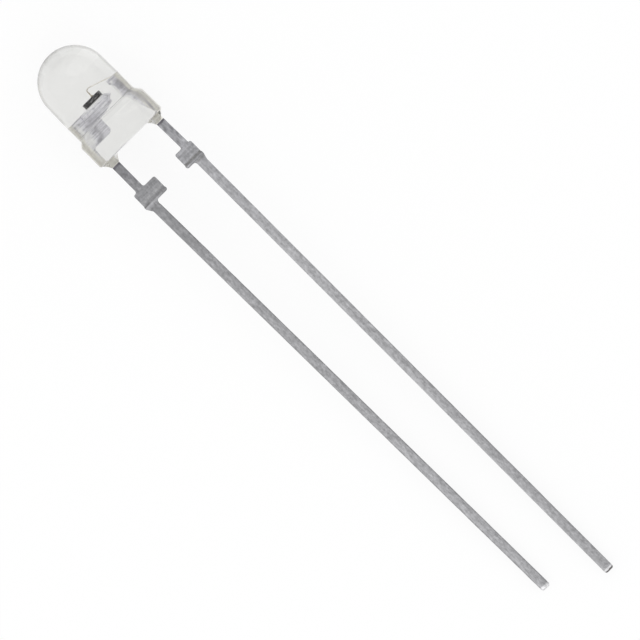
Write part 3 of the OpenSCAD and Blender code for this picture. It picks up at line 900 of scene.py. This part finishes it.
def model_barrel(sizes):
    """Turns the barrel and its dome, which start inside the flange."""
    barrel = add_disc("barrel", sizes.barrel_radius)
    slide(z=sizes.foot_round)
    rim = (sizes.barrel_radius, sizes.foot_round)
    rim = carry_rim(*rim, sizes.barrel_radius, sizes.flange_height + 2 * sizes.joint_round)
    rim = carry_rim(*rim, sizes.barrel_radius, sizes.flange_height + sizes.grip_height)
    centre = sizes.body_height - sizes.dome_radius
    rim = carry_rim(*rim, sizes.dome_radius, centre)
    for step in range(1, DOME_STEPS):
        turn = step * pi / (2 * DOME_STEPS)
        out, up = sizes.dome_radius * cos(turn), sizes.dome_radius * sin(turn)
        rim = carry_rim(*rim, out, centre + up)
    push(z=sizes.body_height - rim[1])
    bpy.ops.mesh.merge(type="CENTER")
    close_shape()
    return barrel


def model_collar(sizes, half, x):
    """Draws the epoxy round a lead: a rounded square that flares up a hollow curve."""
    low = half + sizes.collar_lip
    collar = add(bpy.ops.mesh.primitive_plane_add, "collar", size=2 * low)
    slide(z=-sizes.collar_height)
    bevel(0.35 * low, 6, "VERTICES")
    hollow = sizes.collar_hollow
    chord = Vector((sizes.collar_width - sizes.collar_lip, sizes.collar_height))
    rise = sqrt(hollow**2 - (chord.length / 2) ** 2)
    side = Vector((chord.y, -chord.x)).normalized()
    across = sizes.collar_width + sizes.collar_lip
    middle = Vector((across, -sizes.collar_height)) / 2 + rise * side
    rim = (low, -sizes.collar_height)
    for step in range(1, COLLAR_STEPS + 1):
        height = -sizes.collar_height * (1 - step / COLLAR_STEPS)
        reach = middle.x - sqrt(hollow**2 - (height - middle.y) ** 2)
        rim = carry_rim(*rim, half + reach, height)
    push(z=sizes.foot_round / 2)
    choose_all()
    slide(x=x)
    close_shape()

    depth, inside = sizes.collar_height + sizes.foot_round, sizes.foot_round / 2
    foot = sizes.flange_radius - 0.8 * sizes.foot_round
    cone = add(
        bpy.ops.mesh.primitive_cone_add,
        "cone",
        vertices=ROUND,
        radius1=foot - COLLAR_SLOPE * depth,
        radius2=foot + COLLAR_SLOPE * inside,
        depth=depth + inside,
        location=(0, 0, (inside - depth) / 2),
    )
    bpy.ops.object.mode_set(mode="OBJECT")
    combine(collar, cone, "INTERSECT")
    return collar


def reaches(sizes, side):
    """How far a lead's stub reaches towards the other lead and to the outside."""
    return getattr(sizes, side + "_stub_in"), getattr(sizes, side + "_stub_out")


def draw_lower_lead(side, sizes, spread, lean, leg):
    """Draws a lead below the flange, with the other lead towards +X: strip, stub and leg."""
    half = sizes.strip / 2
    reach_in, reach_out = reaches(sizes, side)
    plane = bpy.ops.mesh.primitive_plane_add
    lead = add(plane, side + "_strip", size=sizes.strip, location=(0, 0, -half))
    top, bottom = -sizes.stub_depth, -sizes.stub_depth - sizes.stub_height
    end = bottom - sizes.stub_runout
    aside = spread * (top + bottom) / 2
    left, right, outer = aside - half, aside + half, aside - reach_out
    choose("EDGE", y=-half)
    slide(x=aside, y=half + top)
    push(y=-sizes.stub_height)
    choose("EDGE", x=right, y=(bottom, top))
    push(x=reach_in - half)
    choose("EDGE", x=left, y=(bottom, top))
    push(x=half - reach_out)
    choose("EDGE", x=(outer, right), y=bottom)
    push(y=-sizes.stub_runout / 2)
    push(y=-sizes.stub_runout / 2)
    middle = aside - sizes.leg_step + lean * ((top + bottom) / 2 - end)
    for y, share in (((bottom + end) / 2, 0.5), (end, 1)):
        choose("VERT", x=outer, y=y)
        slide(x=share * (middle - half - aside + reach_out))
        choose("VERT", x=right, y=y)
        slide(x=middle - aside)
    choose("EDGE", y=end)
    push(x=lean * (end + leg), y=sizes.solder - leg - end)
    return lead


def thicken(sizes):
    """Gives the drawn outline the strip's thickness."""
    choose_all()
    push(z=sizes.strip)
    choose_all()
    bpy.ops.mesh.normals_make_consistent(inside=False)


def clear_lines():
    """Clears the drawing's inner lines from its flat faces."""
    choose_all()
    bpy.ops.mesh.dissolve_limited(angle_limit=radians(0.5))


def round_stub(sizes, side, x, inward):
    """Rounds a stub's corners; inward is 1 where the other lead is towards +X."""
    half = sizes.strip / 2
    reach_in, reach_out = reaches(sizes, side)
    top, bottom = -sizes.stub_depth, -sizes.stub_depth - sizes.stub_height
    round_corner(x + inward * reach_in, top, sizes.stub_round)
    round_corner(x + inward * reach_in, bottom, sizes.stub_round)
    round_corner(x - inward * reach_out, top, sizes.stub_round)
    round_corner(x + inward * half, top, sizes.stub_fillet)
    outer = min(sizes.stub_fillet, reach_out - half - sizes.stub_round)
    round_corner(x - inward * half, top, outer, 2)
    round_corner(x + inward * half, bottom, sizes.stub_fillet)


def dip_in_solder(sizes, leg):
    """Swells the lead below the dip's edge, raises a bead there and rounds the leg."""
    half = sizes.strip / 2
    dip = -sizes.dip_depth
    legs = (-FAR, dip - 0.3 * MM)
    slice_at(dip + 2 * sizes.solder)
    slice_at(dip)
    choose("FACE", y=(-FAR, dip))
    bpy.ops.transform.shrink_fatten(value=sizes.solder, use_even_offset=True)
    bead = sizes.bead_radius
    span = 1.5 * bead
    middle = dip - span / 2
    coat = half + sizes.solder
    for step in range(1, BEAD_STEPS):
        y = dip - step * span / BEAD_STEPS
        rise = sizes.bead_rise - bead + sqrt(bead**2 - (y - middle) ** 2)
        slice_at(y)
        for side in (-1, 1):
            choose("VERT", y=y, z=side * coat)
            slide(z=side * max(rise, 0))
    choose("EDGE", y=legs, also=is_long)
    bevel(sizes.coat_round, 3)
    choose("EDGE", y=-leg)
    bevel(sizes.tip_round, 3)
    choose("EDGE", y=legs, also=is_long)
    bpy.ops.mesh.subdivide(number_cuts=LEG_RINGS)
    choose("VERT", y=legs)
    uneven = UNEVEN_SOLDER * sizes.solder
    bpy.ops.transform.vertex_random(offset=uneven, uniform=0, normal=1, seed=4)


def soften(width, low=-FAR):
    """Rounds every sharp edge above a height a little, as stamping does, and closes the shape."""
    clear_slivers(width / 3)
    choose("EDGE", y=(low, FAR), also=is_sharp)
    bevel(width, 2, clamp=True)
    close_shape()


def finish_lead(side, sizes, x, inward, leg):
    """Rounds the stub of a lead, dips its leg and softens what stamping left above that."""
    round_stub(sizes, side, x, inward)
    dip_in_solder(sizes, leg)
    soften(sizes.edge_round, -sizes.stub_depth - sizes.stub_height - sizes.stub_runout)


def model_collector(sizes, inner):
    """Shapes the collector: its lower lead, then the shoulder, neck, nose and coined pad."""
    half = sizes.strip / 2
    x = -sizes.collector_x
    leg = sizes.collector_length
    lead = draw_lower_lead("collector", sizes, 0, tan(sizes.collector_lean), leg)
    choose_all()
    slide(x=x)
    seat, nose = inner.seat, inner.nose_x
    taper_low = seat - inner.pad_thickness - inner.pad_taper
    # Heights at which the anvil changes shape, and how far its front stands back from the nose.
    profile = (
        (seat - 0.685 * MM, 0.637 * MM),
        (seat - 0.455 * MM, 0.09 * MM),
        (taper_low, 0.09 * MM),
        (seat - 0.325 * MM, 0.09 * MM),
        (seat - 0.19 * MM, 0),
        (seat - inner.pad_thickness, 0.05 * MM),
        (seat, 0.135 * MM),
    )
    choose("EDGE", y=half)
    carry_edge(-inner.edge_x, x + half, inner.shoulder)
    for y, _ in profile:
        push(y=y - top_of(lead))
    choose("EDGE", x=x + half, y=(inner.shoulder, seat))
    push(x=-inner.pad_back - x - half)
    push(x=inner.pad_back - inner.neck_x)
    choose("EDGE", x=-inner.neck_x, y=(profile[0][0], seat))
    push(x=inner.neck_x + nose)
    for y, back in profile:
        choose("VERT", x=nose, y=y)
        slide(x=-back)
    clear_slivers(NEAR)
    thicken(sizes)
    proud = inner.pad_width / 2 - half
    for side in (-half, half):
        out = proud if side > 0 else -proud
        choose("FACE", x=(-inner.pad_back, FAR), y=(taper_low, seat), z=side)
        push(z=out)
        for y, _ in profile[2:5]:
            share = 1 - (y - taper_low) / inner.pad_taper
            choose("VERT", x=(-inner.pad_back, FAR), y=y, z=side + out)
            slide(z=-out * share)
    clear_slivers(NEAR)
    clear_lines()
    round_corner(-inner.neck_x, inner.shoulder, inner.shoulder_round, 6)
    round_corner(x + half, inner.shoulder, inner.shoulder_fillet)
    round_corner(-inner.edge_x, seat, inner.edge_chamfer, 2)
    finish_lead("collector", sizes, x, 1, leg)
    return lead


def top_of(piece):
    """Height of what is selected."""
    shape = bmesh.from_edit_mesh(piece.data)
    return max(corner.co.y for corner in shape.verts if corner.select)


def model_emitter(sizes, inner):
    """Shapes the emitter: its lower lead, mirrored, then the post that slants in from it."""
    half = sizes.strip / 2
    spread = tan(sizes.emitter_spread)
    leg = sizes.emitter_length
    lead = draw_lower_lead("emitter", sizes, spread, -tan(sizes.emitter_lean), leg)
    choose_all()
    stretch(-1, 1, 1, (0, 0, 0))
    slide(x=sizes.emitter_x)
    bpy.ops.mesh.flip_normals()
    inside, outside = sizes.emitter_x - half, sizes.emitter_x + half
    foot, bend, edge = 0.1 * MM, 0.95 * MM, 1.2 * MM
    choose("EDGE", y=half)
    slide(y=foot - half)
    fall = (inside - inner.post_x) / (inner.slant - foot)
    head, nib = inner.post_top - inner.post_head, inner.post_x - inner.post_nib
    for left, right, y in (
        (inside - fall * (bend - foot), outside, bend),
        (inside - fall * (edge - foot), inner.edge_x, edge),
        (inner.post_x, inner.edge_x, inner.slant),
        (inner.post_x, inner.edge_x, head - inner.post_nib),
        (nib, inner.edge_x, head),
        (nib, inner.edge_x, inner.post_top),
    ):
        carry_edge(left, right, y)
    thicken(sizes)
    clear_lines()
    round_corner(inner.edge_x, inner.post_top, inner.edge_chamfer, 2)
    stub_x = sizes.emitter_x + spread * (sizes.stub_depth + sizes.stub_height / 2)
    finish_lead("emitter", sizes, stub_x, -1, leg)
    return lead


def add_block(name, width, height, middle):
    """Adds a flat square block about a height on the lens axis."""
    cube = bpy.ops.mesh.primitive_cube_add
    return add(cube, name, size=width, location=(0, middle, 0), scale=(1, height / width, 1))


def model_die(sizes, seat):
    """Shapes the die: a block with sawn sides and a raised field on top."""
    low = seat + sizes.attach
    top = low + sizes.thickness
    die = add_block("die_chip", sizes.width, sizes.thickness, low + sizes.thickness / 2)
    choose("EDGE")
    bevel(SAWN_EDGE, 2)
    choose("FACE", y=top)
    for width, rise in (STREET, FIELD):
        bpy.ops.mesh.inset(thickness=width)
        push(y=rise)
    close_shape()
    return die


def model_adhesive(sizes, seat):
    """Shapes the adhesive: a thin pad that is drawn out to an uneven foot."""
    pad = add_block("adhesive_pad", sizes.width, sizes.attach, seat + sizes.attach / 2)
    foot = (0, seat, 0)
    choose("FACE", y=seat)
    scale = 1 + 2 * sizes.spread / sizes.width
    stretch(scale, 1, scale, foot)
    choose_all()
    bpy.ops.mesh.subdivide(number_cuts=6)
    choose("VERT", y=seat)
    bpy.ops.transform.vertex_random(offset=UNEVEN_FOOT, uniform=1, normal=0, seed=2)
    stretch(1, 0, 1, foot)
    soften(UNEVEN_FOOT / 2)
    return pad


def model_wire(sizes, die_top, post_top):
    """Draws the wire from its ball over the loop and down to the stitch."""
    bend = Vector((sizes.ball_x + sizes.loop_radius, die_top + sizes.rise))
    landing = Vector((sizes.landing_x, post_top + 0.7 * sizes.radius + sizes.landing_radius))
    run = landing - bend
    radii = sizes.loop_radius + sizes.landing_radius
    straight = sqrt(run.length**2 - radii**2)
    fall = -atan(run.y / run.x) + atan(radii / straight)
    start = (sizes.ball_x, die_top + 0.5 * sizes.ball_height, 0)
    wire = add_disc("gold_wire", sizes.radius, 16, location=start, rotation=(-pi / 2, 0, 0))
    choose_all()
    push(y=sizes.rise - 0.5 * sizes.ball_height)
    bpy.ops.mesh.spin(steps=12, angle=pi / 2 + fall, center=(*bend, 0), axis=(0, 0, 1))
    push(x=straight * cos(fall), y=-straight * sin(fall))
    bpy.ops.mesh.spin(steps=6, angle=fall, center=(*landing, 0), axis=(0, 0, -1))
    for share, thin, wide in STITCH:
        push(x=share * sizes.stitch)
        stretch(1, thin, wide, (0, post_top, 0))
    close_shape()
    ball = add(
        bpy.ops.mesh.primitive_uv_sphere_add,
        "ball",
        segments=24,
        ring_count=16,
        radius=sizes.ball_radius,
        location=(sizes.ball_x, die_top + sizes.ball_height / 2, 0),
    )
    cut((0, die_top, 0), (0, -1, 0))
    cut((0, die_top + sizes.ball_height, 0), (0, 1, 0))
    close_shape()
    combine(wire, ball, "UNION")
    return wire


def top_of_die(settings):
    """Height of the die's top above the foot of the flange."""
    return settings.frame.seat + settings.die.attach + settings.die.thickness


class PHOTOTRANSISTOR_OT_lens(bpy.types.Operator):
    """Model the clear lens body with its flange, flat and collars"""

    bl_idname = "phototransistor.lens"
    bl_label = "Lens Body"
    bl_options = {"REGISTER", "UNDO"}

    def execute(self, context):
        settings = context.scene.phototransistor
        sizes, leads = settings.lens, settings.leads
        shell = model_flange(sizes)
        combine(shell, model_barrel(sizes), "UNION")
        for x in (-leads.collector_x, leads.emitter_x):
            combine(shell, model_collar(sizes, leads.strip / 2, x), "UNION")
        fillet_joint(shell, sizes)
        finish = clear_epoxy(settings.colours, sizes)
        finish_piece(shell, UPRIGHT, finish, ["lens_body"])
        return {"FINISHED"}


class PHOTOTRANSISTOR_OT_leads(bpy.types.Operator):
    """Model both leads with their stubs, solder, anvil and post"""

    bl_idname = "phototransistor.leads"
    bl_label = "Leads"
    bl_options = {"REGISTER", "UNDO"}

    def execute(self, context):
        settings = context.scene.phototransistor
        sizes, tints = settings.leads, settings.colours
        collector = model_collector(sizes, settings.frame)
        finish = plated_strip("collector", tints, sizes.collector_length)
        finish_piece(collector, FLAT, finish, ["collector_lead"])
        emitter = model_emitter(sizes, settings.frame)
        finish = plated_strip("emitter", tints, sizes.emitter_length)
        finish_piece(emitter, FLAT, finish, ["emitter_lead"])
        return {"FINISHED"}


class PHOTOTRANSISTOR_OT_die(bpy.types.Operator):
    """Model the die and the adhesive that holds it"""

    bl_idname = "phototransistor.die"
    bl_label = "Die"
    bl_options = {"REGISTER", "UNDO"}

    def execute(self, context):
        settings = context.scene.phototransistor
        sizes, seat = settings.die, settings.frame.seat
        finish = sawn_silicon(settings.colours, sizes, top_of_die(settings))
        finish_piece(model_die(sizes, seat), FLAT, finish, ["die"])
        finish = silver_adhesive(settings.colours)
        pad = model_adhesive(sizes, seat)
        finish_piece(pad, FLAT, finish, ["die_attach"])
        return {"FINISHED"}


class PHOTOTRANSISTOR_OT_wire(bpy.types.Operator):
    """Model the bond wire from its ball on the die to its stitch on the post"""

    bl_idname = "phototransistor.wire"
    bl_label = "Bond Wire"
    bl_options = {"REGISTER", "UNDO"}

    def execute(self, context):
        settings = context.scene.phototransistor
        wire = model_wire(settings.wire, top_of_die(settings), settings.frame.post_top)
        finish_piece(wire, FLAT, drawn_gold(settings.colours), ["bond_wire"])
        return {"FINISHED"}


FLOOR_SIZE = 2
FLOOR_GAP = 0.002 * MM  # keeps the floor from touching what lies on it
LIGHT_BOUNCES = {"max_bounces": 32, "glossy_bounces": 24, "transmission_bounces": 32}
LAMP_PLACE = (-0.14, 0.12, 0.26)
LAMP_SIZE = 0.24
LAMP_POWER = 0.12
CAMERA_LENS = 1000  # so long that nearer parts look no larger
CAMERA_SIGHT = (0.001, 10)
VIEW_WIDTH = 26.02 * MM
# The middle of the view, and what lies to the right and up in it, on the upright device.
VIEW_CENTRE = (0.289 * MM, 0, -10.63 * MM)
VIEW_RIGHT = (0.7108, 0, -0.7034)
VIEW_UP = (0.7034, 0, 0.7108)
VIEW_BACK = (0, -1, 0)


def lay_floor(tints):
    """Lays the paper just under what lies on it."""
    floor = add(bpy.ops.mesh.primitive_plane_add, "floor", size=FLOOR_SIZE)
    slide(z=-FLOOR_GAP)
    bpy.ops.object.mode_set(mode="OBJECT")
    floor.data.materials.append(floor_paper(tints))


def hang_lamp():
    """Hangs one soft round lamp that points at the object."""
    bpy.ops.object.light_add(type="AREA", location=LAMP_PLACE)
    key = bpy.context.object
    key.name = "key"
    key.data.shape = "DISK"
    key.data.size = LAMP_SIZE
    key.data.energy = LAMP_POWER
    key.rotation_mode = "QUATERNION"
    key.rotation_quaternion = key.location.to_track_quat("Z", "Y")


def set_camera(scene):
    """Looks straight down on the device from far above, with its leads across a corner."""
    bpy.ops.object.camera_add()
    camera = scene.camera = bpy.context.object
    camera.name = "camera"
    camera.data.lens = CAMERA_LENS
    camera.data.clip_start, camera.data.clip_end = CAMERA_SIGHT
    distance = VIEW_WIDTH * CAMERA_LENS / camera.data.sensor_width
    centre = UPRIGHT @ Vector(VIEW_CENTRE)
    turn = UPRIGHT.to_3x3()
    right, up, back = (turn @ Vector(way) for way in (VIEW_RIGHT, VIEW_UP, VIEW_BACK))
    basis = Matrix((right, up, back)).transposed()
    camera.matrix_world = Matrix.Translation(centre + back * distance) @ basis.to_4x4()


class PHOTOTRANSISTOR_OT_stage(bpy.types.Operator):
    """Lay the floor, hang the lamp and set the camera"""

    bl_idname = "phototransistor.stage"
    bl_label = "Stage"
    bl_options = {"REGISTER", "UNDO"}

    def execute(self, context):
        scene = context.scene
        scene.view_settings.view_transform = "Standard"
        for name, count in LIGHT_BOUNCES.items():
            setattr(scene.cycles, name, count)
        lay_floor(scene.phototransistor.colours)
        world = scene.world = bpy.data.worlds.new("studio")
        world.use_nodes = True
        light_world(world.node_tree)
        hang_lamp()
        set_camera(scene)
        return {"FINISHED"}


class PHOTOTRANSISTOR_PT_panel(bpy.types.Panel):
    """Lists the steps of the making"""

    bl_label = "Phototransistor"
    bl_idname = "PHOTOTRANSISTOR_PT_panel"
    bl_space_type = "VIEW_3D"
    bl_region_type = "UI"
    bl_category = "Phototransistor"

    def draw(self, context):
        for operator in OPERATORS:
            self.layout.operator(operator.bl_idname)


OPERATORS = (
    PHOTOTRANSISTOR_OT_lens,
    PHOTOTRANSISTOR_OT_leads,
    PHOTOTRANSISTOR_OT_die,
    PHOTOTRANSISTOR_OT_wire,
    PHOTOTRANSISTOR_OT_stage,
)
CLASSES = (
    LensSizes,
    LeadSizes,
    FrameSizes,
    DieSizes,
    WireSizes,
    FinishColours,
    PHOTOTRANSISTOR_Settings,
    *OPERATORS,
    PHOTOTRANSISTOR_PT_panel,
)


def register():
    for entry in CLASSES:
        bpy.utils.register_class(entry)
    bpy.types.Scene.phototransistor = bpy.props.PointerProperty(type=PHOTOTRANSISTOR_Settings)


def unregister():
    del bpy.types.Scene.phototransistor
    for entry in reversed(CLASSES):
        bpy.utils.unregister_class(entry)


def main():
    register()
    bpy.ops.phototransistor.lens()
    bpy.ops.phototransistor.leads()
    bpy.ops.phototransistor.die()
    bpy.ops.phototransistor.wire()
    bpy.ops.phototransistor.stage()


if __name__ == "__main__":
    main()
